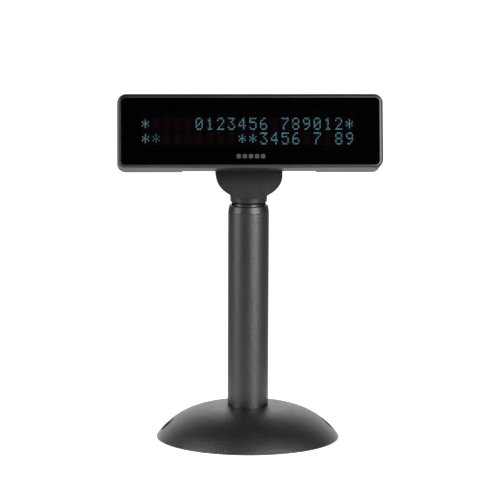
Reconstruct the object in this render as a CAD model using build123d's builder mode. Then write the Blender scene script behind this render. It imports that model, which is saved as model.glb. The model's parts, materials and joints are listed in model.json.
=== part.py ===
from build123d import *
import math
import os

# Customer pole display: a domed base, a round pole, a swivelling knuckle and a tilting head with a
# two-line vacuum fluorescent display. Millimetres. Origin on the counter under the pole's axis,
# +Z up, the display faces -Y.

# ---- driving dimensions: base ----
LIFT = 0.3                     # height of the dome's rim above the counter, set by the feet
RIM_R = 67.5
CROWN_Z = LIFT + 24.15         # top of the dome on the axis, inside the pole hole
CROWN_R = 375.0                # radius of the flat crown
SHOULDER_R = 54.8              # radius of the rounder shoulder
SHOULDER_START = 27.0          # distance from the axis where the shoulder begins
DOME_WALL = 2.5
RECESS_X = 58.9                # the two counter-screw recesses, left and right
RECESS_R = 4.85
RECESS_FLOOR_Z = LIFT + 3.4
COUNTER_HOLE_R = 2.25
RECESS_BOSS_R = 6.4
COVER_R = 62.6
COVER_T = 1.6
COVER_Z = LIFT + 0.8
COVER_SCREW_PCD_R = 36.0
COVER_SEAT_DEPTH = 0.8         # recess for the heads of the cover's screws
FOOT_PCD_R = 50.0
FOOT_R = 7.0
FOOT_STUD_R = 1.95             # studs that snap the feet into the cover
WEIGHT_R = 49.5
WEIGHT_Z = COVER_Z + COVER_T + 0.2
WEIGHT_T = 8.4
WEIGHT_SEAT_DEPTH = 3.0        # recesses under the weight for the screw heads
DOME_BOSS_PCD_R = 40.0         # the bosses that hold the dome on the weight
DOME_BOSS_R = 4.0
DOME_PILOT_DEPTH = 7.0

# ---- driving dimensions: pole ----
POLE_R = 15.0
POLE_BORE_R = 13.0
FLANGE_R = 27.0
FLANGE_T = 3.0
SOCKET_SCREW_PCD_R = 20.5
SOCKET_SPIGOT_H = 26.0         # height of the spigot that fills the tube's lower end
SOCKET_WALL = 2.5
POLE_Z0 = WEIGHT_Z + WEIGHT_T + FLANGE_T
CAP_Z = LIFT + 167.9           # seam between the tube and its cap
CAP_TOP_Z = LIFT + 173.4
CAP_TOP_R = 14.2
CAP_SPIGOT_Z = 148.0
CAP_BORE_R = 11.4
CAP_EDGE_R = 1.1               # rounded top edge
SEAM_BREAK = 0.12              # sharp edges broken where the cap meets the tube
BUSH_R = 9.6
SPINDLE_R = 8.0
RUNNING_GAP = 0.05
WEB_Z = 162.0                  # underside of the cap's bearing web
STOP_W = 3.6                   # width of the stop rib and of the tab that runs into it
STOP_RIB_H = 3.2
STOP_REACH = 2.2               # radial width of the stop rib

# ---- driving dimensions: knuckle ----
COLLAR_Z = LIFT + 174.8
COLLAR_FOOT_R = 12.2
COLLAR_WAIST_R = 13.4
COLLAR_TOP_R = 13.7
KNUCKLE_W = 48.6
KNUCKLE_MID_Z = LIFT + 196.2
KNUCKLE_DROP = 17.0
KNUCKLE_BOTTOM_Y = 14.6        # half thickness at the bottom of the half-moon
KNUCKLE_TOP_Y = 7.3            # half thickness inside the head, where the straight lean ends
KNUCKLE_LEAN_TOP_Z = LIFT + 202.2
KNUCKLE_EYE_W = 44.4
KNUCKLE_SCREW_X = 16.0
KNUCKLE_SCREW_Z = (LIFT + 191.0, LIFT + 203.6)
KNUCKLE_SCREW_DEPTH = 4.5      # the screw heads' seat behind the parting plane
TILT_Z = LIFT + 211.2          # height of the tilt axle
EYE_R = 8.5
AXLE_R = 3.0

# ---- driving dimensions: head ----
TILT = 14.0                    # lean of the face from upright
HEAD_W = 192.5
HEAD_H = 54.2
HEAD_Y = -33.0                 # the face's bottom edge
HEAD_Z = LIFT + 204.8
HEAD_CORNER_R = 6.5
UNDERSIDE = 28.0               # depth of the underside at the sides
HEAD_DEPTH = 42.0
TOP_DEPTH = 31.0
SEAM = 12.0                    # joint between the bezel and the rear housing
WALL = 2.0
WINDOW_W = 187.2
WINDOW_H = 48.8
WINDOW_SILL = 2.5              # bezel height under the window
WINDOW_MID = WINDOW_SILL + WINDOW_H / 2
LIP = 1.4
BEZEL_WALL = 1.5
POCKET_W = 98.0                # recess in the underside that the knuckle enters
POCKET_DEPTH = 21.0
POCKET_TOP = 26.0

# ---- driving dimensions: screws ----
SHANK_R = 1.2
PAN_R = 2.8
PAN_H = 2.0
PILOT_R = 1.25                 # hole that a screw threads into
CLEAR_R = 1.6                  # hole that a screw passes
BOARD_CLEAR_R = 1.7

# ---- driving dimensions: display and boards ----
COLUMNS = 20
ROWS = 2
CELL_PITCH = 7.8
ROW_PITCH = 10.7
CELL_W = 5.25
CELL_H = 9.03
DOTS_ACROSS = 5
DOTS_UP = 7
DOT_PITCH_X = CELL_W / DOTS_ACROSS
DOT_PITCH_U = CELL_H / DOTS_UP
GRID_WIRE = 0.18               # width of the bars of the grid mesh
CELLS_X = -1.7                 # the character field's centre, left of the head's centre
CELLS_U = 27.9
GLASS_W = 172.0
GLASS_H = 30.0
GLASS_FRONT = 5.0
GLASS_T = 1.6
GLASS_GAP = 2.6
ANODE_T = 2.0
ANODE_FRONT = GLASS_FRONT + GLASS_T + GLASS_GAP
ANODE_BACK = ANODE_FRONT + ANODE_T
BOARD_W = 168.0
BOARD_H = 46.0
BOARD_FRONT = 15.0
BOARD_T = 1.6
BOARD_U = 4.0                  # the driver board's lower edge
BOARD_BACK = BOARD_FRONT + BOARD_T
FILAMENT_R = 0.09
FILAMENT_PITCH = 4.4
PORT_X = -68.0
PORT_U = 26.0
PORT_BOARD_FRONT = 25.0
PORT_BACK = PORT_BOARD_FRONT + BOARD_T
LINK_RISE = 9.0                # the board link's height above the port's centre
POST_X = 90.0
POST_U = (8.0, 47.0)
BOARD_SCREW_X = 78.0

os.makedirs("parts", exist_ok=True)

LEAN = math.radians(TILT)
INWARD = (0, math.cos(LEAN), -math.sin(LEAN))
UPWARD = (0, math.sin(LEAN), math.cos(LEAN))
FACE = Plane(origin=(0, HEAD_Y, HEAD_Z), x_dir=(1, 0, 0), z_dir=(0, -math.cos(LEAN), math.sin(LEAN)))
AXLE_DEPTH = -HEAD_Y * math.cos(LEAN) - (TILT_Z - HEAD_Z) * math.sin(LEAN)
AXLE_U = -HEAD_Y * math.sin(LEAN) + (TILT_Z - HEAD_Z) * math.cos(LEAN)


def behind(depth):
    """Plane parallel to the head's face, at a depth behind it: x across, y up the face."""
    return FACE.offset(-depth)


def section(x):
    """Plane across the head at x: its x runs into the head, its y up the face."""
    return Plane(origin=(x, HEAD_Y, HEAD_Z), x_dir=INWARD, z_dir=(1, 0, 0))


def plan(u):
    """Plane through the head at a height up its face: x across, y into the head."""
    origin = (0, HEAD_Y + u * UPWARD[1], HEAD_Z + u * UPWARD[2])
    return Plane(origin=origin, x_dir=(1, 0, 0), z_dir=UPWARD)


def ring(radius, angles):
    """Points on a circle about the pole's axis, at angles in degrees."""
    return [(radius * math.cos(math.radians(a)), radius * math.sin(math.radians(a))) for a in angles]


def outer_circle(part, level):
    """The largest circular edge at a part's lowest (0) or highest (-1) level."""
    return part.edges().filter_by(GeomType.CIRCLE).group_by(Axis.Z)[level].sort_by(SortBy.RADIUS)[-1]


def save(part, name):
    """Label a finished piece and write it."""
    part.label = name
    export_step(part, f"parts/{name}.step")


def slab(plane, width, height, thickness, at=(0, 0), corner=0.0):
    """Plate on a plane, grown against the plane's normal."""
    with BuildPart() as plate:
        with BuildSketch(plane):
            with Locations(at):
                if corner > 0:
                    RectangleRounded(width, height, corner)
                else:
                    Rectangle(width, height)
        extrude(amount=-thickness)
    return plate.part


def screws(plane, points, head_r, head_h, shank_r, length):
    """Pan-head screws with a cross slot: head under-sides on the plane, shanks along its normal."""
    with BuildPart() as group:
        with BuildSketch(plane):
            with Locations(points):
                Circle(shank_r)
        extrude(amount=length)
        with BuildSketch(plane):
            with Locations(points):
                Circle(head_r)
        extrude(amount=-head_h)
        with BuildSketch(plane.offset(-head_h)):
            with Locations(points):
                Rectangle(head_r * 1.15, head_r * 0.28)
                Rectangle(head_r * 0.28, head_r * 1.15)
        extrude(amount=head_h * 0.55, mode=Mode.SUBTRACT)
    return group.part


def front_screws(plane, points, head_r, head_h, shank_r, length):
    """Pan-head screws driven into the head from the front: shanks run against the plane's normal."""
    flipped = Plane(origin=plane.origin, x_dir=plane.x_dir, z_dir=-plane.z_dir)
    return screws(flipped, [(x, -u) for x, u in points], head_r, head_h, shank_r, length)


# ================= base =================

CROWN_SLOPE = math.asin(SHOULDER_START / CROWN_R)
SHOULDER_X = (CROWN_R - SHOULDER_R) * math.sin(CROWN_SLOPE)
SHOULDER_Z = CROWN_Z - CROWN_R + (CROWN_R - SHOULDER_R) * math.cos(CROWN_SLOPE)
BELOW = LIFT - 5.0


def dome_solid(inset, bottom):
    """Solid of revolution under the dome's surface, drawn in by an inset, from a bottom height up."""
    crown = CROWN_R - inset
    shoulder = SHOULDER_R - inset
    seam = (SHOULDER_X + shoulder * math.sin(CROWN_SLOPE), SHOULDER_Z + shoulder * math.cos(CROWN_SLOPE))
    rim_r = RIM_R - inset
    rim_z = SHOULDER_Z + math.sqrt(shoulder ** 2 - (rim_r - SHOULDER_X) ** 2)
    top = (0, CROWN_Z - inset)
    with BuildPart() as dome:
        with BuildSketch(Plane.XZ):
            with BuildLine():
                RadiusArc(top, seam, crown)
                RadiusArc(seam, (rim_r, rim_z), shoulder)
                Polyline((rim_r, rim_z), (rim_r, bottom), (0, bottom), top)
            make_face()
        revolve(axis=Axis.Z)
    return dome.part


RECESSES = ((RECESS_X, 0), (-RECESS_X, 0))
DOME_BOSSES = ring(DOME_BOSS_PCD_R, (90, 210, 330))
FEET = ring(FOOT_PCD_R, (45, 135, 225, 315))
COVER_SCREWS = ring(COVER_SCREW_PCD_R, (45, 135, 225, 315))
SOCKET_SCREWS = ring(SOCKET_SCREW_PCD_R, (30, 150, 270))
WEIGHT_TOP_Z = WEIGHT_Z + WEIGHT_T

with BuildPart() as base_dome:
    add(dome_solid(0.0, LIFT))
    add(dome_solid(DOME_WALL, BELOW), mode=Mode.SUBTRACT)
    # bosses: two under the counter-screw recesses, three that stand on the weight
    with BuildSketch(Plane.XY.offset(LIFT)):
        with Locations(*RECESSES):
            Circle(RECESS_BOSS_R)
    extrude(amount=CROWN_Z)
    with BuildSketch(Plane.XY.offset(WEIGHT_TOP_Z)):
        with Locations(*DOME_BOSSES):
            Circle(DOME_BOSS_R)
    extrude(amount=CROWN_Z)
    add(dome_solid(0.0, LIFT), mode=Mode.INTERSECT)
    with BuildSketch(Plane.XY.offset(RECESS_FLOOR_Z)):
        with Locations(*RECESSES):
            Circle(RECESS_R)
    extrude(amount=CROWN_Z, mode=Mode.SUBTRACT)
    with BuildSketch(Plane.XY.offset(BELOW)):
        with Locations(*RECESSES):
            Circle(COUNTER_HOLE_R)
    extrude(amount=CROWN_Z, mode=Mode.SUBTRACT)
    with BuildSketch(Plane.XY.offset(WEIGHT_TOP_Z)):
        with Locations(*DOME_BOSSES):
            Circle(PILOT_R)
    extrude(amount=DOME_PILOT_DEPTH, mode=Mode.SUBTRACT)
    with BuildSketch(Plane.XY.offset(BELOW)):
        Circle(POLE_R + 0.1)
    extrude(amount=CROWN_Z - BELOW + 1, mode=Mode.SUBTRACT)
save(base_dome.part, "base_dome")

with BuildPart() as base_weight:
    with BuildSketch(Plane.XY.offset(WEIGHT_Z)):
        Circle(WEIGHT_R)
        with Locations(*DOME_BOSSES, *SOCKET_SCREWS):
            Circle(CLEAR_R, mode=Mode.SUBTRACT)
        with Locations(*COVER_SCREWS):
            Circle(1.5, mode=Mode.SUBTRACT)
    extrude(amount=WEIGHT_T)
    with BuildSketch(Plane.XY.offset(WEIGHT_Z)):
        with Locations(*DOME_BOSSES, *SOCKET_SCREWS):
            Circle(3.4)
    extrude(amount=WEIGHT_SEAT_DEPTH, mode=Mode.SUBTRACT)
    chamfer(base_weight.edges().filter_by(GeomType.CIRCLE).sort_by(SortBy.RADIUS)[-2:], 0.6)
save(base_weight.part, "base_weight")

with BuildPart() as base_bottom_cover:
    with BuildSketch(Plane.XY.offset(COVER_Z)):
        Circle(COVER_R)
        with Locations(*RECESSES):
            Circle(RECESS_BOSS_R + 0.3, mode=Mode.SUBTRACT)
        with Locations(*COVER_SCREWS):
            Circle(CLEAR_R, mode=Mode.SUBTRACT)
        with Locations(*FEET):
            Circle(FOOT_STUD_R + RUNNING_GAP, mode=Mode.SUBTRACT)
    extrude(amount=COVER_T)
    with BuildSketch(Plane.XY.offset(COVER_Z)):
        with Locations(*COVER_SCREWS):
            Circle(3.3)
    extrude(amount=COVER_SEAT_DEPTH, mode=Mode.SUBTRACT)
save(base_bottom_cover.part, "base_bottom_cover")

with BuildPart() as rubber_feet:
    with BuildSketch(Plane.XY):
        with Locations(*FEET):
            Circle(FOOT_R)
    extrude(amount=COVER_Z)
    chamfer(rubber_feet.faces().sort_by(Axis.Z)[:4].edges(), 0.35)
    with BuildSketch(Plane.XY):
        with Locations(*FEET):
            Circle(FOOT_STUD_R)
    extrude(amount=COVER_Z + COVER_T)
save(rubber_feet.part, "rubber_feet")

WEIGHT_SEAT = Plane.XY.offset(WEIGHT_Z + WEIGHT_SEAT_DEPTH)
save(screws(Plane.XY.offset(COVER_Z + COVER_SEAT_DEPTH), COVER_SCREWS, 3.0, 0.7, 1.45, 6.5), "cover_screws")
save(screws(WEIGHT_SEAT, DOME_BOSSES, 3.0, PAN_H, SHANK_R, WEIGHT_T + 3.0), "dome_screws")
save(screws(WEIGHT_SEAT, SOCKET_SCREWS, 3.0, PAN_H, 1.45, WEIGHT_T - 0.2), "pole_socket_screws")

# ================= pole =================

with BuildPart() as pole_socket:
    with BuildSketch(Plane.XY.offset(WEIGHT_TOP_Z)):
        Circle(FLANGE_R)
        with Locations(*SOCKET_SCREWS):
            Circle(1.5, mode=Mode.SUBTRACT)
    extrude(amount=FLANGE_T)
    with BuildSketch(Plane.XY.offset(POLE_Z0)):
        Circle(POLE_BORE_R)
    extrude(amount=SOCKET_SPIGOT_H)
    chamfer(pole_socket.faces().sort_by(Axis.Z)[-1].edges(), 1.0)
    with BuildSketch(Plane.XY.offset(WEIGHT_TOP_Z)):
        Circle(POLE_BORE_R - SOCKET_WALL)
    extrude(amount=FLANGE_T + SOCKET_SPIGOT_H, mode=Mode.SUBTRACT)
save(pole_socket.part, "pole_socket")

with BuildPart() as pole_tube:
    with BuildSketch(Plane.XY.offset(POLE_Z0)):
        Circle(POLE_R)
        Circle(POLE_BORE_R, mode=Mode.SUBTRACT)
    extrude(amount=CAP_Z - POLE_Z0)
    chamfer(outer_circle(pole_tube, -1), SEAM_BREAK)
save(pole_tube.part, "pole_tube")

with BuildPart() as pole_top_cap:
    with BuildSketch(Plane.XZ):
        with BuildLine():
            Polyline((BUSH_R, CAP_TOP_Z), (CAP_TOP_R, CAP_TOP_Z), (POLE_R, CAP_Z + 3 * SEAM_BREAK),
                     (POLE_R - SEAM_BREAK, CAP_Z + 0.05), (POLE_BORE_R, CAP_Z + 0.05),
                     (POLE_BORE_R, CAP_SPIGOT_Z), (CAP_BORE_R, CAP_SPIGOT_Z), (CAP_BORE_R, WEB_Z),
                     (BUSH_R, WEB_Z), (BUSH_R, CAP_TOP_Z))
        make_face()
    revolve(axis=Axis.Z)
    fillet(outer_circle(pole_top_cap, -1), CAP_EDGE_R)
    # the stop rib stands inside the spigot, at the rear, level with the stop washer's tab
    with BuildSketch(Plane.XY.offset(WEB_Z - STOP_RIB_H)):
        with Locations((0, 10.6)):
            Rectangle(STOP_W, STOP_REACH)
    extrude(amount=STOP_RIB_H)
save(pole_top_cap.part, "pole_top_cap")

with BuildPart() as swivel_bushing:
    with BuildSketch(Plane.XY.offset(WEB_Z)):
        Circle(BUSH_R - 0.02)
        Circle(SPINDLE_R + RUNNING_GAP, mode=Mode.SUBTRACT)
    extrude(amount=CAP_TOP_Z - WEB_Z - 0.1)
save(swivel_bushing.part, "swivel_bushing")

# ================= knuckle =================

HEADED_Z = COLLAR_Z + 10.0
STOP_Z = WEB_Z - 2.6
NUT_Z = WEB_Z - 8.2

with BuildPart() as swivel_spindle:
    with BuildSketch(Plane.XY.offset(NUT_Z - 1.5)):
        Circle(SPINDLE_R)
    extrude(amount=HEADED_Z - NUT_Z + 1.5)
    with BuildSketch(Plane.XY.offset(HEADED_Z)):
        RegularPolygon(10.0, 6)
    extrude(amount=4.0)
    with BuildSketch(Plane.XY.offset(NUT_Z - 2)):
        Circle(5.0)
    extrude(amount=22.0, mode=Mode.SUBTRACT)
    chamfer(outer_circle(swivel_spindle, 0), 0.6)
save(swivel_spindle.part, "swivel_spindle")

with BuildPart() as swivel_ring:
    with BuildSketch(Plane.XY.offset(CAP_TOP_Z + 0.08)):
        Circle(COLLAR_FOOT_R + 0.3)
        Circle(SPINDLE_R + 0.02, mode=Mode.SUBTRACT)
    extrude(amount=COLLAR_Z - CAP_TOP_Z - 0.08)
    chamfer(outer_circle(swivel_ring, -1), 0.3)
save(swivel_ring.part, "swivel_ring")

with BuildPart() as swivel_stop_washer:
    with BuildSketch(Plane.XY.offset(STOP_Z)):
        Circle(9.0)
        with Locations((0, -9.6)):
            Rectangle(STOP_W, 2.8)
        Circle(SPINDLE_R + 0.02, mode=Mode.SUBTRACT)
    extrude(amount=1.5)
save(swivel_stop_washer.part, "swivel_stop_washer")

with BuildPart() as swivel_slip_washer:
    with BuildSketch(Plane.XY.offset(STOP_Z + 1.5)):
        Circle(9.2)
        Circle(SPINDLE_R + 0.02, mode=Mode.SUBTRACT)
    extrude(amount=1.0)
save(swivel_slip_washer.part, "swivel_slip_washer")

with BuildPart() as swivel_spring_washer:
    with BuildSketch(Plane.XZ):
        with BuildLine():
            Polyline((SPINDLE_R + 0.02, STOP_Z), (SPINDLE_R + 0.02, STOP_Z - 0.7), (8.9, STOP_Z - 1.4),
                     (8.9, STOP_Z - 0.7), close=True)
        make_face()
    revolve(axis=Axis.Z)
save(swivel_spring_washer.part, "swivel_spring_washer")

with BuildPart() as swivel_nut:
    with BuildSketch(Plane.XY.offset(NUT_Z)):
        RegularPolygon(9.1, 6, major_radius=False)
        Circle(SPINDLE_R + 0.02, mode=Mode.SUBTRACT)
    extrude(amount=STOP_Z - 1.4 - NUT_Z)
save(swivel_nut.part, "swivel_nut")

KNUCKLE_SCREWS = [(side * KNUCKLE_SCREW_X, z) for z in KNUCKLE_SCREW_Z for side in (1, -1)]


def knuckle_solid():
    """Half-moon block with a collar below and an eye round the tilt axle above."""
    half = KNUCKLE_W / 2
    shoulder_z = TILT_Z - 9.0
    lowest_z = KNUCKLE_MID_Z - KNUCKLE_DROP
    with BuildPart() as block:
        with BuildSketch(Plane.XZ):
            with BuildLine():
                EllipticalCenterArc((0, KNUCKLE_MID_Z), half, KNUCKLE_DROP, start_angle=180, arc_size=180)
                Polyline((half, KNUCKLE_MID_Z), (half, shoulder_z), (KNUCKLE_EYE_W / 2, shoulder_z),
                         (KNUCKLE_EYE_W / 2, TILT_Z + EYE_R), (-KNUCKLE_EYE_W / 2, TILT_Z + EYE_R),
                         (-KNUCKLE_EYE_W / 2, shoulder_z), (-half, shoulder_z), (-half, KNUCKLE_MID_Z))
            make_face()
        extrude(amount=20, both=True)
        with BuildSketch(Plane.XZ):
            with BuildLine():
                Polyline((0, COLLAR_Z), (COLLAR_FOOT_R, COLLAR_Z), (COLLAR_WAIST_R, COLLAR_Z + 1.2),
                         (COLLAR_TOP_R, COLLAR_Z + 6.0), (COLLAR_TOP_R, COLLAR_Z + 9.0),
                         (0, COLLAR_Z + 9.0), close=True)
            make_face()
        revolve(axis=Axis.Z)
        # side outline: straight leaning faces that end in the round eye
        with BuildSketch(Plane.YZ):
            with BuildLine():
                Polyline((-KNUCKLE_TOP_Y, KNUCKLE_LEAN_TOP_Z), (-KNUCKLE_BOTTOM_Y, lowest_z),
                         (-KNUCKLE_BOTTOM_Y, COLLAR_Z - 2), (KNUCKLE_BOTTOM_Y, COLLAR_Z - 2),
                         (KNUCKLE_BOTTOM_Y, lowest_z), (KNUCKLE_TOP_Y, KNUCKLE_LEAN_TOP_Z),
                         (EYE_R, TILT_Z))
                RadiusArc((EYE_R, TILT_Z), (0, TILT_Z + EYE_R), -EYE_R)
                RadiusArc((0, TILT_Z + EYE_R), (-EYE_R, TILT_Z), -EYE_R)
                Line((-EYE_R, TILT_Z), (-KNUCKLE_TOP_Y, KNUCKLE_LEAN_TOP_Z))
            make_face()
        extrude(amount=40, both=True, mode=Mode.INTERSECT)
        # bore for the axle, seat for the spindle
        with BuildSketch(Plane.YZ):
            with Locations((0, TILT_Z)):
                Circle(AXLE_R + RUNNING_GAP)
        extrude(amount=40, both=True, mode=Mode.SUBTRACT)
        with BuildSketch(Plane.XY.offset(COLLAR_Z - 1)):
            Circle(SPINDLE_R + 0.02)
        extrude(amount=HEADED_Z - COLLAR_Z + 1, mode=Mode.SUBTRACT)
        with BuildSketch(Plane.XY.offset(HEADED_Z)):
            RegularPolygon(10.05, 6)
        extrude(amount=4.1, mode=Mode.SUBTRACT)
    return block.part


with BuildPart() as knuckle_front:
    add(knuckle_solid())
    split(bisect_by=Plane.XZ, keep=Keep.TOP)
    with BuildSketch(Plane.XZ):
        with Locations(*KNUCKLE_SCREWS):
            Circle(PILOT_R)
    extrude(amount=6.0, mode=Mode.SUBTRACT)
save(knuckle_front.part, "knuckle_front")

with BuildPart() as knuckle_rear:
    add(knuckle_solid())
    split(bisect_by=Plane.XZ, keep=Keep.BOTTOM)
    with BuildSketch(Plane.XZ):
        with Locations(*KNUCKLE_SCREWS):
            Circle(CLEAR_R)
    extrude(amount=-30, mode=Mode.SUBTRACT)
    with BuildSketch(Plane.XZ.offset(-KNUCKLE_SCREW_DEPTH)):
        with Locations(*KNUCKLE_SCREWS):
            Circle(3.1)
    extrude(amount=-30, mode=Mode.SUBTRACT)
save(knuckle_rear.part, "knuckle_rear")
KNUCKLE_SEAT = Plane.XZ.offset(-KNUCKLE_SCREW_DEPTH)
save(screws(KNUCKLE_SEAT, KNUCKLE_SCREWS, PAN_R, PAN_H, SHANK_R, 9.5), "knuckle_screws")

# ================= tilt hinge =================

EAR_T = 2.0
EAR_X = KNUCKLE_EYE_W / 2 + 1.4
EAR_R = 7.6
AXLE_HALF = EAR_X + EAR_T + 8.0
BRACKET_SCREWS = [(x, depth) for x in (-38.0, 38.0) for depth in (AXLE_DEPTH - 4.5, AXLE_DEPTH + 4.5)]
AXLE_AT = (AXLE_DEPTH, AXLE_U)

with BuildPart() as hinge_bracket:
    # plate under the pocket's ceiling, and two ears that carry the axle
    with BuildSketch(plan(POCKET_TOP - 0.02)):
        with Locations((0, AXLE_DEPTH)):
            RectangleRounded(88.0, 16.0, 2.0)
        with Locations(*BRACKET_SCREWS):
            Circle(CLEAR_R, mode=Mode.SUBTRACT)
    extrude(amount=-EAR_T)
    for ear_x in (-EAR_X - EAR_T, EAR_X):
        with BuildSketch(section(ear_x)):
            with Locations(AXLE_AT):
                Circle(EAR_R)
            with Locations((AXLE_DEPTH, (AXLE_U + POCKET_TOP - 0.5) / 2)):
                Rectangle(2 * EAR_R, POCKET_TOP - 0.5 - AXLE_U)
            with Locations(AXLE_AT):
                Circle(AXLE_R + 0.01, mode=Mode.SUBTRACT)
        extrude(amount=EAR_T)
save(hinge_bracket.part, "hinge_bracket")
save(screws(plan(POCKET_TOP - 0.02 - EAR_T), BRACKET_SCREWS, PAN_R, 1.8, SHANK_R, 5.6), "bracket_screws")

with BuildPart() as tilt_axle:
    with BuildSketch(section(-AXLE_HALF)):
        with Locations(AXLE_AT):
            Circle(AXLE_R)
    extrude(amount=2 * AXLE_HALF)
    chamfer(tilt_axle.edges().filter_by(GeomType.CIRCLE), 0.5)
save(tilt_axle.part, "tilt_axle")


def on_axle(outer, thickness, starts, sides=0):
    """Round or hexagonal pieces threaded on the tilt axle, one starting at each x."""
    with BuildPart() as group:
        for start in starts:
            with BuildSketch(section(start)):
                with Locations(AXLE_AT):
                    if sides:
                        RegularPolygon(outer, sides, major_radius=False)
                    else:
                        Circle(outer)
                    Circle(AXLE_R + 0.02, mode=Mode.SUBTRACT)
            extrude(amount=thickness)
    return group.part


OUTSIDE = EAR_X + EAR_T
save(on_axle(6.4, 1.2, (-EAR_X, EAR_X - 1.2)), "friction_washers")
save(on_axle(5.8, 1.2, (-OUTSIDE - 1.2, OUTSIDE)), "axle_spring_washers")
save(on_axle(5.0, 4.6, (-OUTSIDE - 5.8, OUTSIDE + 1.2), 6), "axle_nuts")

# ================= head casing =================

HOUSING_SCREWS = [(side * POST_X, u) for side in (-1, 1) for u in POST_U]

with BuildPart() as front_bezel:
    with BuildSketch(behind(0)):
        with Locations((0, HEAD_H / 2)):
            RectangleRounded(HEAD_W, HEAD_H, HEAD_CORNER_R)
    extrude(amount=-SEAM)
    fillet(front_bezel.faces().filter_by(FACE).sort_by(Axis.Y)[0].edges(), 2.2)
    with BuildSketch(behind(LIP)):
        with Locations((0, HEAD_H / 2)):
            RectangleRounded(HEAD_W - 2 * BEZEL_WALL, HEAD_H - 2 * BEZEL_WALL, HEAD_CORNER_R - BEZEL_WALL)
    extrude(amount=-SEAM, mode=Mode.SUBTRACT)
    # posts for the housing screws, joined to the side walls
    with BuildSketch(behind(LIP + 2.9)):
        with Locations(*[(side * (POST_X + 1.0), u) for side in (-1, 1) for u in POST_U]):
            Rectangle(9.0, 7.4)
    extrude(amount=-(SEAM - LIP - 2.9))
    with BuildSketch(behind(0)):
        with Locations((0, WINDOW_MID)):
            RectangleRounded(WINDOW_W, WINDOW_H, 3.0)
    extrude(amount=-(LIP + 2.0), mode=Mode.SUBTRACT)
    with BuildSketch(behind(SEAM)):
        with Locations(*HOUSING_SCREWS):
            Circle(PILOT_R)
    extrude(amount=6.5, mode=Mode.SUBTRACT)
save(front_bezel.part, "front_bezel")

PANEL_W = HEAD_W - 2 * BEZEL_WALL - 0.4
PANEL_H = HEAD_H - 2 * BEZEL_WALL - 0.4

with BuildPart() as window_seal:
    with BuildSketch(behind(LIP)):
        with Locations((0, HEAD_H / 2)):
            RectangleRounded(PANEL_W, PANEL_H, 4.6)
        with Locations((0, WINDOW_MID)):
            RectangleRounded(WINDOW_W + 0.4, WINDOW_H + 0.4, 3.2, mode=Mode.SUBTRACT)
    extrude(amount=-0.4)
save(window_seal.part, "window_seal")
save(slab(behind(LIP + 0.4), PANEL_W, PANEL_H, 2.0, (0, HEAD_H / 2), 4.6), "display_window")


def housing_block(inset):
    """Solid inside the rear housing's surface, drawn in by an inset on every side but the front."""
    width = HEAD_W - 2 * inset
    with BuildPart() as block:
        with BuildSketch(behind(SEAM)):
            with Locations((0, HEAD_H / 2)):
                RectangleRounded(width, HEAD_H - 2 * inset, HEAD_CORNER_R - inset)
        extrude(amount=-HEAD_DEPTH)
        with BuildSketch(section(0)):
            with BuildLine():
                Polyline((0, 0), (UNDERSIDE, 0), (HEAD_DEPTH, 14), (HEAD_DEPTH, 34), (TOP_DEPTH, HEAD_H),
                         (0, HEAD_H), close=True)
            make_face()
            offset(amount=-inset, kind=Kind.INTERSECTION)
        extrude(amount=HEAD_W, both=True, mode=Mode.INTERSECT)
        with BuildSketch(plan(-5)):
            with Locations((0, HEAD_DEPTH - inset - 30)):
                RectangleRounded(width, 60, 6.5 - inset)
        extrude(amount=HEAD_H + 10, mode=Mode.INTERSECT)
    return block.part


PORT_W = 15.6
PORT_H = 13.2
POCKET_WALL_DEPTH = POCKET_DEPTH - WALL
POCKET_BOX_W = POCKET_W + 2 * WALL
BOARD_SCREWS = [(side * BOARD_SCREW_X, u) for side in (-1, 1) for u in (8.0, 46.0)]
PORT_SCREWS = ((PORT_X - 12.0, PORT_U), (PORT_X + 12.0, PORT_U))


def rear_feature(depth, points, radius):
    """Round posts inside the rear housing, from a depth to its rear wall."""
    with BuildPart() as posts:
        with BuildSketch(behind(depth)):
            with Locations(*points):
                Circle(radius)
        extrude(amount=-HEAD_DEPTH)
        add(housing_block(0.5), mode=Mode.INTERSECT)
    return posts.part


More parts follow.
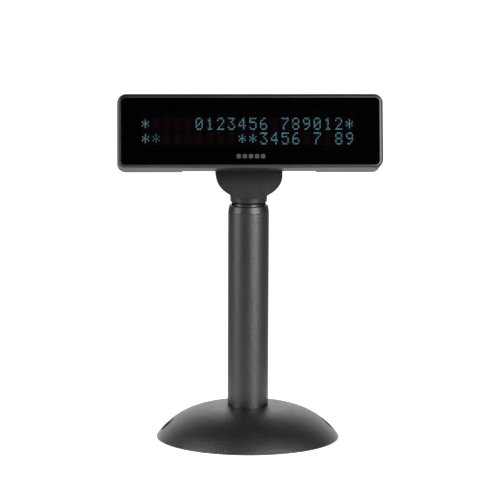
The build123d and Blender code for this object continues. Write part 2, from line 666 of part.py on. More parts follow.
with BuildPart() as rear_housing:
    add(housing_block(0.0))
    add(housing_block(WALL), mode=Mode.SUBTRACT)
    add(rear_feature(SEAM, HOUSING_SCREWS, 3.6))
    add(rear_feature(BOARD_BACK, BOARD_SCREWS, 3.2))
    add(rear_feature(PORT_BACK, PORT_SCREWS, 2.8))
    # walls round the pocket for the knuckle, then the pocket itself
    with BuildSketch(section(0)):
        with Locations((POCKET_WALL_DEPTH + 12.0, (POCKET_TOP + WALL) / 2)):
            Rectangle(24.0, POCKET_TOP + WALL)
    extrude(amount=POCKET_BOX_W / 2, both=True)
    with BuildSketch(section(0)):
        with Locations((POCKET_DEPTH + 20.0, POCKET_TOP - 20.0)):
            Rectangle(40.0, 40.0)
    extrude(amount=POCKET_W / 2, both=True, mode=Mode.SUBTRACT)
    add(housing_block(0.0), mode=Mode.INTERSECT)
    # screw passages: deep counterbores for the housing screws, pilot holes for the others
    with BuildSketch(behind(SEAM)):
        with Locations(*HOUSING_SCREWS):
            Circle(CLEAR_R)
    extrude(amount=-HEAD_DEPTH, mode=Mode.SUBTRACT)
    with BuildSketch(behind(SEAM + 8.0)):
        with Locations(*HOUSING_SCREWS):
            Circle(3.0)
    extrude(amount=-HEAD_DEPTH, mode=Mode.SUBTRACT)
    with BuildSketch(behind(BOARD_BACK)):
        with Locations(*BOARD_SCREWS):
            Circle(SHANK_R)
    extrude(amount=-8.0, mode=Mode.SUBTRACT)
    with BuildSketch(behind(PORT_BACK)):
        with Locations(*PORT_SCREWS):
            Circle(SHANK_R)
    extrude(amount=-7.0, mode=Mode.SUBTRACT)
    with BuildSketch(plan(POCKET_TOP - 1)):
        with Locations(*BRACKET_SCREWS):
            Circle(SHANK_R)
    extrude(amount=6.0, mode=Mode.SUBTRACT)
    # opening for the interface socket
    with BuildSketch(behind(HEAD_DEPTH - 5)):
        with Locations((PORT_X, PORT_U)):
            Rectangle(PORT_W + 0.4, PORT_H + 0.4)
    extrude(amount=-10, mode=Mode.SUBTRACT)
save(rear_housing.part, "rear_housing")
save(screws(behind(SEAM + 8.0), HOUSING_SCREWS, PAN_R, PAN_H, SHANK_R, 13.0), "housing_screws")

# ================= fluorescent display =================

SEAL_W = 3.0
save(slab(behind(GLASS_FRONT), GLASS_W, GLASS_H, GLASS_T, (0, CELLS_U)), "vfd_front_glass")
save(slab(behind(ANODE_FRONT), GLASS_W, GLASS_H + 3.0, ANODE_T, (0, CELLS_U - 1.5)), "vfd_anode_plate")

with BuildPart() as vfd_seal_frame:
    with BuildSketch(behind(GLASS_FRONT + GLASS_T)):
        with Locations((0, CELLS_U)):
            Rectangle(GLASS_W - 0.4, GLASS_H - 0.4)
            Rectangle(GLASS_W - 2 * SEAL_W, GLASS_H - 2 * SEAL_W, mode=Mode.SUBTRACT)
    extrude(amount=-GLASS_GAP)
save(vfd_seal_frame.part, "vfd_seal_frame")

with BuildPart() as vfd_grids:
    with BuildSketch(behind(ANODE_FRONT - 0.9)):
        with Locations((CELLS_X, CELLS_U)):
            with GridLocations(CELL_PITCH, ROW_PITCH, COLUMNS, ROWS):
                Rectangle(CELL_PITCH - 0.5, CELL_H + 1.1)
                with GridLocations(DOT_PITCH_X, DOT_PITCH_U, DOTS_ACROSS, DOTS_UP):
                    Rectangle(DOT_PITCH_X - GRID_WIRE, DOT_PITCH_U - GRID_WIRE, mode=Mode.SUBTRACT)
    extrude(amount=-0.1)
save(vfd_grids.part, "vfd_grids")

FILAMENT_LENGTH = COLUMNS * CELL_PITCH + 2.0
FILAMENT_U = [CELLS_U + step * FILAMENT_PITCH for step in (-2, -1, 0, 1, 2)]

with BuildPart() as vfd_filaments:
    with BuildSketch(section(CELLS_X - FILAMENT_LENGTH / 2)):
        with Locations(*[(ANODE_FRONT - 1.8, u) for u in FILAMENT_U]):
            Circle(FILAMENT_R)
    extrude(amount=FILAMENT_LENGTH)
save(vfd_filaments.part, "vfd_filaments")

with BuildPart() as vfd_filament_posts:
    with BuildSketch(behind(ANODE_FRONT - 2.1)):
        for side in (-1, 1):
            with Locations((CELLS_X + side * (FILAMENT_LENGTH / 2 + 0.8), CELLS_U)):
                Rectangle(1.6, 21.0)
    extrude(amount=-2.1)
save(vfd_filament_posts.part, "vfd_filament_posts")

PIN_COUNT = 52
PIN_PITCH = 2.54
PIN_U = CELLS_U - GLASS_H / 2 - 1.6

with BuildPart() as vfd_pins:
    with BuildSketch(behind(ANODE_BACK)):
        with Locations((0, PIN_U)):
            with GridLocations(PIN_PITCH, 1, PIN_COUNT, 1):
                Rectangle(0.5, 0.3)
    extrude(amount=-(BOARD_BACK + 1.0 - ANODE_BACK))
save(vfd_pins.part, "vfd_pins")

with BuildPart() as vfd_cushions:
    with BuildSketch(behind(ANODE_BACK)):
        with Locations((-40, CELLS_U + 1), (0, CELLS_U + 1), (40, CELLS_U + 1)):
            Rectangle(12.0, 22.0)
    extrude(amount=-(BOARD_FRONT - ANODE_BACK))
save(vfd_cushions.part, "vfd_cushions")

# ================= boards =================

with BuildPart() as driver_board:
    with BuildSketch(behind(BOARD_FRONT)):
        with Locations((0, BOARD_U + BOARD_H / 2)):
            Rectangle(BOARD_W, BOARD_H)
        with Locations(*BOARD_SCREWS):
            Circle(BOARD_CLEAR_R, mode=Mode.SUBTRACT)
        with Locations((0, PIN_U)):
            Rectangle(PIN_COUNT * PIN_PITCH, 0.9, mode=Mode.SUBTRACT)
        with Locations((PORT_X, PORT_U + LINK_RISE)):
            with GridLocations(2.54, 2.54, 5, 2):
                Rectangle(0.52, 0.52, mode=Mode.SUBTRACT)
    extrude(amount=-BOARD_T)
save(driver_board.part, "driver_board")
save(front_screws(behind(BOARD_FRONT), BOARD_SCREWS, PAN_R, PAN_H, 1.15, 8.0), "board_screws")


def chip(x, u, width, height, thickness, legs, pitch):
    """Flat surface-mount package with gull-wing legs along its two long sides."""
    with BuildPart() as package:
        with BuildSketch(behind(BOARD_BACK + 0.15)):
            with Locations((x, u)):
                Rectangle(width, height)
        extrude(amount=-thickness)
        with BuildSketch(behind(BOARD_BACK)):
            with Locations((x, u)):
                with GridLocations(pitch, height + 0.8, legs, 2):
                    Rectangle(pitch * 0.45, 1.4)
        extrude(amount=-0.3)
    return package.part


save(chip(18.0, 38.0, 13.0, 8.6, 1.6, 14, 0.8), "control_chip")

with BuildPart() as grid_driver_chips:
    for x in (-28.0, -6.0):
        add(chip(x, 38.0, 14.0, 7.4, 1.8, 14, 0.9))
save(grid_driver_chips.part, "grid_driver_chips")

with BuildPart() as supply_inductor:
    with BuildSketch(behind(BOARD_BACK)):
        with Locations((62.0, 20.0)):
            RectangleRounded(12.0, 12.0, 3.0)
    extrude(amount=-7.0)
    chamfer(supply_inductor.edges().filter_by(GeomType.LINE, reverse=True).group_by(Axis.Y)[-1], 0.5)
save(supply_inductor.part, "supply_inductor")

with BuildPart() as supply_capacitors:
    with BuildSketch(behind(BOARD_BACK)):
        with Locations((60.0, 33.0), (71.0, 33.0), (60.0, 43.0)):
            Circle(4.0)
    extrude(amount=-11.0)
save(supply_capacitors.part, "supply_capacitors")

with BuildPart() as clock_crystal:
    with BuildSketch(behind(BOARD_BACK)):
        with Locations((34.0, 39.0)):
            RectangleRounded(10.4, 4.4, 2.1)
    extrude(amount=-3.5)
save(clock_crystal.part, "clock_crystal")

with BuildPart() as port_board:
    with BuildSketch(behind(PORT_BOARD_FRONT)):
        with Locations((PORT_X, PORT_U)):
            Rectangle(31.0, 26.0)
        with Locations(*PORT_SCREWS):
            Circle(BOARD_CLEAR_R, mode=Mode.SUBTRACT)
    extrude(amount=-BOARD_T)
save(port_board.part, "port_board")
save(front_screws(behind(PORT_BOARD_FRONT), PORT_SCREWS, 2.6, 1.8, 1.15, 7.5), "port_board_screws")

PORT_MOUTH = HEAD_DEPTH - 0.4
PLUG_W = 11.8
PLUG_H = 8.4
PLUG_DEPTH = 12.6

with BuildPart() as interface_socket:
    with BuildSketch(behind(PORT_BACK)):
        with Locations((PORT_X, PORT_U)):
            Rectangle(PORT_W, PORT_H)
    extrude(amount=-(PORT_MOUTH - PORT_BACK))
    with BuildSketch(behind(PORT_MOUTH)):
        with Locations((PORT_X, PORT_U)):
            Rectangle(PLUG_W, PLUG_H)
        with Locations((PORT_X, PORT_U - PLUG_H / 2 - 0.9)):
            Rectangle(3.6, 2.2)
    extrude(amount=PLUG_DEPTH, mode=Mode.SUBTRACT)
save(interface_socket.part, "interface_socket")

with BuildPart() as socket_contacts:
    with BuildSketch(behind(PORT_MOUTH - PLUG_DEPTH)):
        with Locations((PORT_X, PORT_U + PLUG_H / 2 - 0.35)):
            with GridLocations(1.02, 1, 8, 1):
                Rectangle(0.45, 0.7)
    extrude(amount=-9.0)
save(socket_contacts.part, "socket_contacts")

with BuildPart() as board_link:
    with BuildSketch(behind(BOARD_BACK)):
        with Locations((PORT_X, PORT_U + LINK_RISE)):
            Rectangle(15.4, 5.0)
    extrude(amount=-(PORT_BOARD_FRONT - BOARD_BACK))
    with BuildSketch(behind(BOARD_FRONT - 1.0)):
        with Locations((PORT_X, PORT_U + LINK_RISE)):
            with GridLocations(2.54, 2.54, 5, 2):
                Rectangle(0.5, 0.5)
    extrude(amount=-(BOARD_BACK + 1.0 - BOARD_FRONT))
save(board_link.part, "board_link")
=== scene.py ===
import json
import math

import bmesh
import bpy
from mathutils import Matrix, Vector


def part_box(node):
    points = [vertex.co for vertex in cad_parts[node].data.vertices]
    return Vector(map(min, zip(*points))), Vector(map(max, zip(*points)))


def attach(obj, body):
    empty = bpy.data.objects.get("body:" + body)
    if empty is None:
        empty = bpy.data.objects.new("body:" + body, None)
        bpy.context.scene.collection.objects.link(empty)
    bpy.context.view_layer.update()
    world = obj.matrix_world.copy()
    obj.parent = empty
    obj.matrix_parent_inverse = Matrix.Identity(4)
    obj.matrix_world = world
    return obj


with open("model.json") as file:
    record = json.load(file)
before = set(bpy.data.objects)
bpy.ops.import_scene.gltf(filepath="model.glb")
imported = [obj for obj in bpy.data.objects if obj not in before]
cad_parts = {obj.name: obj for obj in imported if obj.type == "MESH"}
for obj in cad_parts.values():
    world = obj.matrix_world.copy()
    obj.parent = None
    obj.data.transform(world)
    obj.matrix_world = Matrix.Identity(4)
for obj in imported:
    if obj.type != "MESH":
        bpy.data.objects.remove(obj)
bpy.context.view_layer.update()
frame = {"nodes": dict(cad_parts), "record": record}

NODES = frame["nodes"]
SLOT_OF = {row["node"]: row["material_slot"] for row in frame["record"]["subparts"]}
MM = 0.001

# ---------------------------------------------------------------- the head's own axes

HEAD_LEAN = math.radians(14.0)
ACROSS = Vector((1, 0, 0))
UP_FACE = Vector((0, math.sin(HEAD_LEAN), math.cos(HEAD_LEAN)))
INTO_HEAD = Vector((0, math.cos(HEAD_LEAN), -math.sin(HEAD_LEAN)))
HEAD_TURN = Matrix((ACROSS, UP_FACE, -INTO_HEAD)).transposed().to_4x4()


def span(node, axis):
    """How far a CAD node reaches along an axis: (lowest, highest), in metres from the origin."""
    reach = [vertex.co.dot(axis) for vertex in NODES[node].data.vertices]
    return min(reach), max(reach)


def on_face(x, up, depth):
    """The point of the head that is this far across, up the face and into the head."""
    return ACROSS * x + UP_FACE * up + INTO_HEAD * depth


# ---------------------------------------------------------------- node material helpers

class Shader:
    """One Principled material, with short calls for the nodes that drive it."""

    def __init__(self, name):
        self.material = bpy.data.materials.new(name)
        self.material.use_nodes = True
        self.tree = self.material.node_tree
        self.bsdf = self.tree.nodes["Principled BSDF"]
        self.coords = self.tree.nodes.new("ShaderNodeTexCoord").outputs["Object"]

    def node(self, kind, **values):
        made = self.tree.nodes.new(kind)
        for key, value in values.items():
            setattr(made, key, value)
        return made

    def link(self, a, b):
        self.tree.links.new(a, b)

    def stretch(self, scale):
        """Object coordinates scaled apart on each axis, for drawn or brushed grain."""
        mapping = self.node("ShaderNodeMapping")
        mapping.inputs["Scale"].default_value = scale
        self.link(self.coords, mapping.inputs["Vector"])
        return mapping.outputs["Vector"]

    def noise(self, size_mm, detail=3.0, rough=0.5, coords=None):
        tex = self.node("ShaderNodeTexNoise")
        tex.inputs["Scale"].default_value = 1000.0 / size_mm
        tex.inputs["Detail"].default_value = detail
        tex.inputs["Roughness"].default_value = rough
        self.link(coords or self.coords, tex.inputs["Vector"])
        return tex.outputs["Fac"]

    def pits(self, size_mm):
        """Distance to the nearest of many scattered points, for pebbled and sparked surfaces."""
        tex = self.node("ShaderNodeTexVoronoi")
        tex.inputs["Scale"].default_value = 1000.0 / size_mm
        self.link(self.coords, tex.inputs["Vector"])
        return tex.outputs["Distance"]

    def spread(self, value, low, high, from_low=0.3, from_high=0.7):
        """Maps a texture's value to a range."""
        ramp = self.node("ShaderNodeMapRange")
        ramp.inputs["From Min"].default_value = from_low
        ramp.inputs["From Max"].default_value = from_high
        ramp.inputs["To Min"].default_value = low
        ramp.inputs["To Max"].default_value = high
        self.link(value, ramp.inputs["Value"])
        return ramp.outputs["Result"]

    def math(self, operation, a, b):
        node = self.node("ShaderNodeMath", operation=operation)
        for socket, value in zip(node.inputs, (a, b)):
            if isinstance(value, (int, float)):
                socket.default_value = value
            else:
                self.link(value, socket)
        return node.outputs["Value"]

    def tint(self, value, dark, light):
        mix = self.node("ShaderNodeMix", data_type="RGBA")
        for key, colour in (("A", dark), ("B", light)):
            if isinstance(colour, tuple):
                mix.inputs[key].default_value = (*colour, 1)
            else:
                self.link(colour, mix.inputs[key])
        self.link(value, mix.inputs["Factor"])
        return mix.outputs["Result"]

    def bevel(self, radius_mm):
        """Normals as if every sharp edge had a small round, and 0 to 1 for how near such an edge is."""
        rounded = self.node("ShaderNodeBevel", samples=4)
        rounded.inputs["Radius"].default_value = radius_mm * MM
        plain = self.node("ShaderNodeNewGeometry").outputs["Normal"]
        dot = self.node("ShaderNodeVectorMath", operation="DOT_PRODUCT")
        self.link(rounded.outputs["Normal"], dot.inputs[0])
        self.link(plain, dot.inputs[1])
        return rounded.outputs["Normal"], self.spread(dot.outputs["Value"], 1.0, 0.0, 0.9, 0.995)

    def bump(self, height, depth_mm, under=None):
        node = self.node("ShaderNodeBump")
        node.inputs["Distance"].default_value = depth_mm * MM
        self.link(height, node.inputs["Height"])
        if under is not None:
            self.link(under, node.inputs["Normal"])
        return node.outputs["Normal"]

    def colour(self, value):
        self.link(value, self.bsdf.inputs["Base Color"])

    def roughness(self, value):
        self.link(value, self.bsdf.inputs["Roughness"])

    def normal(self, value):
        self.link(value, self.bsdf.inputs["Normal"])

    def set(self, **values):
        for key, value in values.items():
            self.bsdf.inputs[key.replace("_", " ")].default_value = value


def shade(rgb, factor):
    return tuple(min(1.0, c * factor) for c in rgb)


CLOUD_MM, GLOSS_MM, RUBBED_MM, TARNISH_MM = 18.0, 6.0, 2.5, 5.0
COARSE_GRAIN = 2.4
EDGE_MM, EDGE_WEAR = 0.25, 1.6


def moulded(name, rgb, rough, grain_mm, depth_mm, mottle, specular, edge_mm=EDGE_MM):
    """Moulded or coated surface: grain in two sizes, cloudy colour, uneven gloss, edges rubbed paler."""
    s = Shader(name)
    cloud = s.spread(s.noise(CLOUD_MM, 4.0, 0.6), 0, 1)
    body = s.tint(cloud, shade(rgb, 1 - mottle), shade(rgb, 1 + mottle))
    rubbed = s.spread(s.noise(RUBBED_MM, 4.0, 0.65), 0.1, 1.0)
    rounded, near_edge = s.bevel(edge_mm)
    s.colour(s.tint(s.math("MULTIPLY", near_edge, rubbed), body, shade(rgb, EDGE_WEAR)))
    gloss = s.spread(s.noise(GLOSS_MM, 4.0, 0.6), rough * 0.92, rough * 1.08)
    s.roughness(s.math("ADD", gloss, s.spread(s.pits(grain_mm), -0.02, 0.03)))
    coarse = s.bump(s.noise(grain_mm * COARSE_GRAIN, 2.0, 0.5), depth_mm * 1.2, rounded)
    s.normal(s.bump(s.noise(grain_mm, 2.0, 0.6), depth_mm, coarse))
    s.set(Specular_IOR_Level=specular)
    return s.material


def metal(name, rgb, rough, stretch, grain_mm, depth_mm, edge_tint=1.0):
    """Plated or bare metal with drawn grain and faint tarnish. A low edge tint keeps its rim dark."""
    s = Shader(name)
    s.set(Metallic=1.0, Specular_Tint=(edge_tint, edge_tint, edge_tint, 1))
    drawn = s.noise(grain_mm, 3.0, 0.6, s.stretch(stretch))
    tarnish = s.noise(TARNISH_MM, 4.0, 0.6)
    s.colour(s.tint(s.spread(tarnish, 0, 1), shade(rgb, 0.8), shade(rgb, 1.08)))
    s.roughness(s.spread(drawn, rough * 0.75, rough * 1.3))
    s.normal(s.bump(drawn, depth_mm))
    return s.material


# Base colour, roughness, grain size and depth in mm, mottle, specular level, and an edge round in mm
# for the parts whose seams show.
MOULDED = {
    "dome_plastic": ((0.008, 0.008, 0.0085), 0.35, 0.70, 0.250, 0.10, 0.9),
    "pole_paint": ((0.0035, 0.0036, 0.0040), 0.34, 0.70, 0.140, 0.15, 0.66, 0.06),
    "cap_plastic": ((0.0045, 0.0045, 0.005), 0.37, 0.60, 0.060, 0.10, 0.70, 0.06),
    "knuckle_plastic": ((0.0045, 0.0045, 0.0048), 0.32, 0.60, 0.060, 0.08, 0.45),
    "bezel_plastic": ((0.008, 0.008, 0.0086), 0.31, 0.40, 0.008, 0.08, 0.62),
    "housing_plastic": ((0.010, 0.010, 0.011), 0.35, 0.45, 0.012, 0.10, 0.6),
    "cover_steel": ((0.020, 0.020, 0.022), 0.50, 0.60, 0.030, 0.15, 0.5),
    "foot_rubber": ((0.014, 0.014, 0.014), 0.85, 0.30, 0.020, 0.20, 0.2),
    "seal_foam": ((0.010, 0.010, 0.010), 0.90, 0.30, 0.040, 0.20, 0.2),
    "screw_black": ((0.015, 0.015, 0.016), 0.35, 0.30, 0.006, 0.20, 0.5),
    "bracket_steel": ((0.020, 0.020, 0.022), 0.35, 0.60, 0.010, 0.15, 0.5),
    "socket_plastic": ((0.012, 0.012, 0.013), 0.45, 0.30, 0.010, 0.10, 0.5),
    "chip_epoxy": ((0.016, 0.016, 0.017), 0.55, 0.15, 0.010, 0.10, 0.5),
    "ferrite": ((0.045, 0.045, 0.050), 0.70, 0.20, 0.020, 0.10, 0.5),
    "capacitor_sleeve": ((0.012, 0.012, 0.030), 0.30, 0.40, 0.004, 0.10, 0.5),
    "bushing_nylon": ((0.72, 0.70, 0.64), 0.45, 0.40, 0.006, 0.05, 0.5),
    "frit_seal": ((0.004, 0.003, 0.003), 0.80, 0.30, 0.020, 0.10, 0.1),
    "anode_black": ((0.0015, 0.0013, 0.0015), 0.60, 0.30, 0.004, 0.10, 0.05),
    "circuit_board": ((0.012, 0.075, 0.030), 0.35, 0.80, 0.010, 0.20, 0.5),
}

# Base colour, roughness, stretch of the grain, its size and depth in mm, and an edge tint for dark chrome.
METALS = {
    "ring_polished": ((0.093, 0.093, 0.098), 0.13, (1, 1, 1), 0.6, 0.001, 0.1),
    "weight_iron": ((0.12, 0.12, 0.13), 0.60, (1, 1, 1), 0.8, 0.050),
    "socket_cast": ((0.50, 0.51, 0.53), 0.50, (1, 1, 1), 0.6, 0.030),
    "screw_steel": ((0.42, 0.43, 0.44), 0.36, (1, 1, 12), 0.6, 0.004),
    "plated_steel": ((0.40, 0.40, 0.41), 0.34, (1, 1, 12), 0.6, 0.004),
    "gold_contact": ((0.90, 0.68, 0.30), 0.20, (1, 1, 12), 0.6, 0.004),
    "grid_mesh": ((0.03, 0.010, 0.014), 0.50, (1, 1, 1), 0.3, 0.002),
    "filament_wire": ((0.05, 0.03, 0.03), 0.60, (1, 1, 1), 0.3, 0.002),
}


# Darkest and lightest grey, how much of it hides what is behind, specular level, size of the haze in mm.
CLEAR = {
    "window_tint": (0.0002, 0.0004, 0.45, 0.3, 25.0),
    "vfd_glass": (0.003, 0.005, 0.12, 0.08, 12.0),
}


def clear_sheet(name, dark, light, alpha, specular, haze_mm):
    """Acrylic or glass: polished, faintly hazy, and see-through enough for lit characters behind it."""
    s = Shader(name)
    haze = s.noise(haze_mm, 3.0, 0.5)
    s.roughness(s.spread(haze, 0.03, 0.07))
    s.colour(s.tint(s.spread(haze, 0, 1), (dark,) * 3, (light,) * 3))
    s.set(Alpha=alpha, Specular_IOR_Level=specular)
    return s.material


def phosphor(name, glow, strength, body):
    """Phosphor dots: granular powder that glows evenly; the unlit dots get a faint painted glow, though
    unlit phosphor gives no light.
    """
    s = Shader(name)
    grains = s.noise(0.12, 2.0, 0.6)
    s.colour(s.tint(s.spread(grains, 0, 1), shade(body, 0.7), shade(body, 1.3)))
    s.roughness(s.spread(grains, 0.7, 0.95))
    s.normal(s.bump(grains, 0.01))
    s.set(Emission_Color=(*glow, 1), Emission_Strength=strength)
    return s.material


MATERIALS = {name: moulded(name, *values) for name, values in MOULDED.items()}
MATERIALS.update({name: metal(name, *values) for name, values in METALS.items()})
MATERIALS.update({name: clear_sheet(name, *values) for name, values in CLEAR.items()})

for node_name, node_object in NODES.items():
    node_object.data.materials.clear()
    node_object.data.materials.append(MATERIALS[SLOT_OF[node_name]])

# ---------------------------------------------------------------- characters

FONT = {
    "0": "01110 10001 10011 10101 11001 10001 01110",
    "1": "00100 01100 00100 00100 00100 00100 01110",
    "2": "01110 10001 00001 00010 00100 01000 11111",
    "3": "11111 00010 00100 00010 00001 10001 01110",
    "4": "00010 00110 01010 10010 11111 00010 00010",
    "5": "11111 10000 11110 00001 00001 10001 01110",
    "6": "00110 01000 10000 11110 10001 10001 01110",
    "7": "11111 00001 00010 00100 01000 01000 01000",
    "8": "01110 10001 10001 01110 10001 10001 01110",
    "9": "01110 10001 10001 01111 00001 00010 01100",
    "*": "00000 00100 10101 01110 10101 00100 00000",
}
LINES = ("*    0123456 789012*", "**       **3456 7 89")
DIM_CELLS = ((1, 1),)
# The unlit red and its strength paint a faint glow onto the unlit dots, which give no light; the unlit
# powder is painted darker and redder than the lit powder, a painted shade on the same phosphor.
TEAL, UNLIT_PAINTED_GLOW_RED = (0.30, 0.78, 1.0), (1.0, 0.26, 0.56)
LIT_STRENGTH, DIM_STRENGTH, UNLIT_PAINTED_GLOW_STRENGTH = 1.08, 0.45, 0.013
POWDER, UNLIT_POWDER = (0.10, 0.14, 0.14), (0.02, 0.006, 0.010)
CHARACTERS, ROWS = 20, 7
CELL_PITCH, LINE_PITCH = 7.8 * MM, 10.7 * MM
DOT_PITCH = (1.05 * MM, 1.29 * MM)
DOT_SIZE = (0.84 * MM, 1.06 * MM)
DOT_RISE, DOT_CORNER = 0.05 * MM, 0.15 * MM
ANODE_BELOW_GRIDS = 0.85 * MM


def field_centre():
    """The middle of the character field, on the face of the anode plate."""
    low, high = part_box("vfd_grids")
    return (low + high) / 2 + INTO_HEAD * ANODE_BELOW_GRIDS


def new_piece(name, bm, material):
    mesh = bpy.data.meshes.new(name)
    bm.to_mesh(mesh)
    bm.free()
    piece = bpy.data.objects.new(name, mesh)
    bpy.context.scene.collection.objects.link(piece)
    piece.data.materials.append(material)
    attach(piece, "head")
    return piece


def rounded_pad(bm, place, width, height, rise, radius, steps=3):
    """A closed flat pad with round corners, lying on the head's face at this place."""
    outline = []
    for corner in range(4):
        start = corner * math.pi / 2
        cx = (width / 2 - radius) * (1 if corner in (0, 3) else -1)
        cy = (height / 2 - radius) * (1 if corner in (0, 1) else -1)
        for step in range(steps + 1):
            turn = start + step / steps * math.pi / 2
            outline.append((cx + radius * math.cos(turn), cy + radius * math.sin(turn)))
    matrix = Matrix.Translation(place) @ HEAD_TURN
    low = [bm.verts.new(matrix @ Vector((x, y, 0))) for x, y in outline]
    high = [bm.verts.new(matrix @ Vector((x, y, rise))) for x, y in outline]
    bm.faces.new(reversed(low))
    bm.faces.new(high)
    for i in range(len(low)):
        j = (i + 1) % len(low)
        bm.faces.new((low[i], low[j], high[j], high[i]))


def dots_of(wanted):
    """Pads on every dot place for which wanted(line, column, row, dot) is true."""
    bm = bmesh.new()
    centre = field_centre()
    for line in range(2):
        for column in range(CHARACTERS):
            across = (column - (CHARACTERS - 1) / 2) * CELL_PITCH
            cell = centre + ACROSS * across + UP_FACE * ((0.5 - line) * LINE_PITCH)
            for row in range(ROWS):
                for dot in range(5):
                    if wanted(line, column, row, dot):
                        place = cell + ACROSS * ((dot - 2) * DOT_PITCH[0])
                        place = place + UP_FACE * ((3 - row) * DOT_PITCH[1])
                        rounded_pad(bm, place, *DOT_SIZE, DOT_RISE, DOT_CORNER, 1)
    return bm


def level(line, column, row, dot):
    """Whether a dot is lit, dim (its character is being refreshed) or unlit."""
    glyph = FONT.get(LINES[line][column])
    if not glyph or glyph.split()[row][dot] != "1":
        return "unlit"
    return "dim" if (line, column) in DIM_CELLS else "lit"


def add_characters():
    # The unlit look paints a faint red glow and a darker, redder powder onto dots that give no light.
    looks = (("lit", TEAL, LIT_STRENGTH, POWDER), ("dim", TEAL, DIM_STRENGTH, POWDER),
             ("unlit", UNLIT_PAINTED_GLOW_RED, UNLIT_PAINTED_GLOW_STRENGTH, UNLIT_POWDER))
    for name, glow, strength, body in looks:
        dots = dots_of(lambda *dot: level(*dot) == name)
        material = phosphor(f"phosphor_{name}", glow, strength, body)
        new_piece(f"vfd_{name}_dots", dots, material)


INK_EDGE_MM = 0.01


def add_emblem():
    """A plain row of five rounded squares printed under the characters."""
    size, gap, count = 3.1 * MM, 1.3 * MM, 5
    middle_x, above_edge, thickness = 0.4 * MM, 8.8 * MM, 0.03 * MM
    up = span("front_bezel", UP_FACE)[0] + above_edge
    face = span("display_window", INTO_HEAD)[0]
    bm = bmesh.new()
    for i in range(count):
        x = middle_x + (i - (count - 1) / 2) * (size + gap)
        rounded_pad(bm, on_face(x, up, face), size, size, thickness, 0.8 * MM, 4)
    ink = moulded("emblem_ink", (0.035, 0.035, 0.036), 0.5, 0.3, 0.002, 0.1, 0.3, INK_EDGE_MM)
    new_piece("window_emblem", bm, ink)


def add_window_mask():
    """Opaque black printing on the window's back, all round the character panel."""
    opening = (157.4 * MM, 28.2 * MM)
    inset, thickness = 0.4 * MM, 0.04 * MM
    middle = field_centre()
    left, right = (reach + side * inset for reach, side in zip(span("display_window", ACROSS), (1, -1)))
    low, high = (reach + side * inset for reach, side in zip(span("display_window", UP_FACE), (1, -1)))
    back = span("display_window", INTO_HEAD)[1] + 2 * thickness
    columns = (left, middle.x - opening[0] / 2, middle.x + opening[0] / 2, right)
    rows = (low, middle.dot(UP_FACE) - opening[1] / 2, middle.dot(UP_FACE) + opening[1] / 2, high)
    bm = bmesh.new()
    grid = [[bm.verts.new(on_face(x, up, back)) for up in rows] for x in columns]
    for i in range(3):
        for j in range(3):
            if (i, j) != (1, 1):
                bm.faces.new((grid[i][j], grid[i + 1][j], grid[i + 1][j + 1], grid[i][j + 1]))
    skin = list(bm.faces)
    made = bmesh.ops.extrude_face_region(bm, geom=skin)["geom"]
    raised = [item for item in made if isinstance(item, bmesh.types.BMVert)]
    bmesh.ops.translate(bm, verts=raised, vec=-INTO_HEAD * thickness)
    bmesh.ops.recalc_face_normals(bm, faces=list(bm.faces))
    ink = moulded("mask_ink", (0.0004,) * 3, 0.6, 0.3, 0.002, 0.1, 0.0, INK_EDGE_MM)
    new_piece("window_mask", bm, ink)


add_characters()
add_emblem()
add_window_mask()

# ---------------------------------------------------------------- floor, light, camera

IMAGE_PX, SENSOR_MM = 500, 36.0
AXIS_DISTANCE = 2.5
CAMERA_HEIGHT = 0.5385
CAMERA_AZIMUTH = math.radians(2.3)
CAMERA_PITCH = math.radians(9.06)
CAMERA_ROLL = math.radians(0.245)
FOCAL_PX = 3444.4
AIM_PX = 1.6
SOFTBOX_AIM, SOFTBOX_DISTANCE = Vector((0, 0, 0.15)), 1.2
SOFTBOX_ELEVATION, SOFTBOX_HEIGHT = math.radians(17), 1.0
WALL_FADE = (0.62, 0.93)
WALL_GLOW, ROOM_GLOW = 1.42, 0.02
FLOOR_HALF = 12.0
FLOOR_SEEN, FLOOR_BEHIND = 0.98, 0.15
FLOOR_BESIDE, FLOOR_BESIDE_FADE = 1.3, (0.08, 0.20)
FLOOR_SIDES, FLOOR_SIDES_FADE = 1.4, (0.25, 0.60)


def add_camera():
    cam = bpy.data.objects.new("camera", bpy.data.cameras.new("camera"))
    bpy.context.scene.collection.objects.link(cam)
    cam.data.sensor_width = SENSOR_MM
    cam.data.lens = FOCAL_PX / IMAGE_PX * SENSOR_MM
    cam.data.clip_end = 50.0
    a = CAMERA_AZIMUTH
    cam.location = (-math.sin(a) * AXIS_DISTANCE, -math.cos(a) * AXIS_DISTANCE, CAMERA_HEIGHT)
    heading = a + math.atan(AIM_PX / FOCAL_PX)
    drop, run = math.sin(CAMERA_PITCH), math.cos(CAMERA_PITCH)
    ahead = Vector((math.sin(heading) * run, math.cos(heading) * run, -drop))
    turn = ahead.to_track_quat("-Z", "Y").to_matrix().to_4x4()
    cam.matrix_world = Matrix.Translation(cam.location) @ turn @ Matrix.Rotation(CAMERA_ROLL, 4, "Z")
    bpy.context.scene.camera = cam


def behind_mask(tree, direction):
    """1 in the directions near +Y, where the white wall stands, falling to 0 towards the sides."""
    parts = tree.nodes.new("ShaderNodeSeparateXYZ")
    tree.links.new(direction, parts.inputs["Vector"])
    ramp = tree.nodes.new("ShaderNodeMapRange")
    ramp.interpolation_type = "SMOOTHSTEP"
    ramp.inputs["From Min"].default_value, ramp.inputs["From Max"].default_value = WALL_FADE
    tree.links.new(parts.outputs["Y"], ramp.inputs["Value"])
    return ramp.outputs["Result"]


def seen_or_lit(tree, lit, seen):
    """The strength that lights the object, or an even one where the camera looks straight at it."""
    path = tree.nodes.new("ShaderNodeLightPath")
    mix = tree.nodes.new("ShaderNodeMix")
    tree.links.new(path.outputs["Is Camera Ray"], mix.inputs["Factor"])
    tree.links.new(lit, mix.inputs["A"])
    mix.inputs["B"].default_value = seen
    return mix.outputs["Result"]


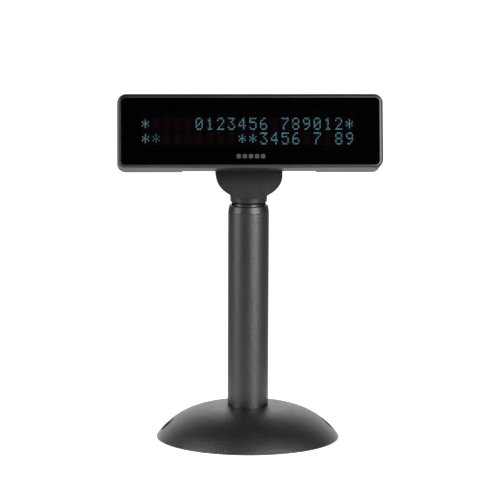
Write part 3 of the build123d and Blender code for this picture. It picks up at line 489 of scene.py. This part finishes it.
def add_floor():
    """White sheet, lit from below as on a product table, so that it stays pale to the horizon."""
    mesh = bpy.data.meshes.new("floor")
    bm = bmesh.new()
    bmesh.ops.create_grid(bm, x_segments=8, y_segments=8, size=FLOOR_HALF)
    bm.to_mesh(mesh)
    bm.free()
    floor = bpy.data.objects.new("floor", mesh)
    bpy.context.scene.collection.objects.link(floor)
    s = Shader("floor_paper")
    s.colour(s.tint(s.spread(s.noise(400.0, 3.0), 0, 1), (0.83, 0.83, 0.83), (0.87, 0.87, 0.87)))
    s.roughness(s.spread(s.noise(3.0), 0.85, 0.95))
    away = s.node("ShaderNodeVectorMath", operation="NORMALIZE")
    s.link(s.coords, away.inputs[0])
    reach = s.node("ShaderNodeVectorMath", operation="LENGTH")
    s.link(s.coords, reach.inputs[0])
    beside = s.spread(reach.outputs["Value"], FLOOR_BESIDE, 0.0, *FLOOR_BESIDE_FADE)
    sideways = s.node("ShaderNodeSeparateXYZ")
    s.link(away.outputs["Vector"], sideways.inputs["Vector"])
    sides = s.spread(s.math("ABSOLUTE", sideways.outputs["X"], 0.0), 1.0, FLOOR_SIDES, *FLOOR_SIDES_FADE)
    beside = s.math("MULTIPLY", beside, sides)
    behind = s.math("MULTIPLY", behind_mask(s.tree, away.outputs["Vector"]), FLOOR_BEHIND)
    glow = seen_or_lit(s.tree, s.math("MAXIMUM", beside, behind), FLOOR_SEEN)
    s.link(glow, s.bsdf.inputs["Emission Strength"])
    s.set(Emission_Color=(1, 1, 1, 1))
    floor.data.materials.append(s.material)


def add_softbox(name, azimuth, width, radiance):
    """Area light aimed at the pole's upper half. Azimuth 0 is the front, positive to the right."""
    a, e = math.radians(azimuth), SOFTBOX_ELEVATION
    away = Vector((math.sin(a) * math.cos(e), -math.cos(a) * math.cos(e), math.sin(e)))
    data = bpy.data.lights.new(name, "AREA")
    data.shape = "RECTANGLE"
    data.size, data.size_y = width, SOFTBOX_HEIGHT
    data.energy = radiance * math.pi * width * SOFTBOX_HEIGHT
    light = bpy.data.objects.new(name, data)
    bpy.context.scene.collection.objects.link(light)
    light.location = SOFTBOX_AIM + away * SOFTBOX_DISTANCE
    light.rotation_euler = (-away).to_track_quat("-Z", "Y").to_euler()


def add_world():
    """White wall behind the object, dim room elsewhere; the camera itself sees plain white."""
    world = bpy.data.worlds.new("studio")
    bpy.context.scene.world = world
    world.use_nodes = True
    tree = world.node_tree
    direction = tree.nodes.new("ShaderNodeTexCoord").outputs["Generated"]
    wall = tree.nodes.new("ShaderNodeMapRange")
    wall.inputs["To Min"].default_value, wall.inputs["To Max"].default_value = ROOM_GLOW, WALL_GLOW
    tree.links.new(behind_mask(tree, direction), wall.inputs["Value"])
    strength = seen_or_lit(tree, wall.outputs["Result"], 1.0)
    background = tree.nodes["Background"]
    tree.links.new(strength, background.inputs["Strength"])
    background.inputs["Color"].default_value = (1, 1, 1, 1)


add_camera()
add_floor()
add_world()
add_softbox("softbox_right", 36, 0.80, 8.4)
add_softbox("softbox_left", -69, 0.65, 5.4)
bpy.context.scene.view_settings.view_transform = "Standard"
